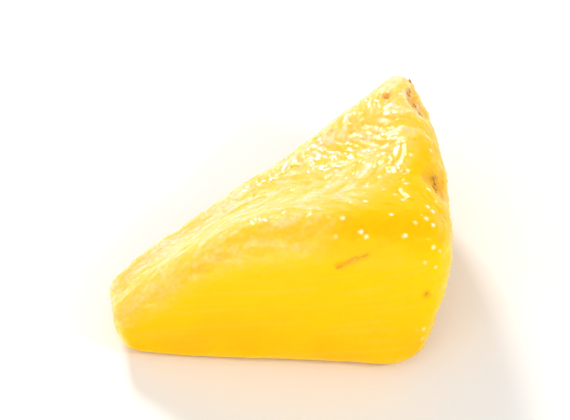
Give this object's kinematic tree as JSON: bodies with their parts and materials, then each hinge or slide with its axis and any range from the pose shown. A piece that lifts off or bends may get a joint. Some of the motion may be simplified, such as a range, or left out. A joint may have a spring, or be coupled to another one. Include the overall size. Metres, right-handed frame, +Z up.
{
  "type": "diced pineapple chunk",
  "caption": "Wedge of fresh pineapple flesh cut from a peeled, cored slice: broad peeled end, narrow blunt tip, juicy fibrous cut faces, flat base.",
  "frame": {"origin": "under the middle of the chunk's box, on the surface the chunk lies on", "axes": "+Z up, out of the upper slice face; +X along the near knife cut, from the narrow tip where the core was cut out towards the broad peeled face; +Y from the near knife cut towards the far one"},
  "size_m": [0.0372, 0.0332, 0.018],
  "materials": {
    "pineapple_flesh": "wet, juicy, translucent yellow fruit flesh with paler fibres"
  },
  "bodies": {
    "root": {"pineapple_chunk": "pineapple_flesh"}
  },
  "joints": []
}
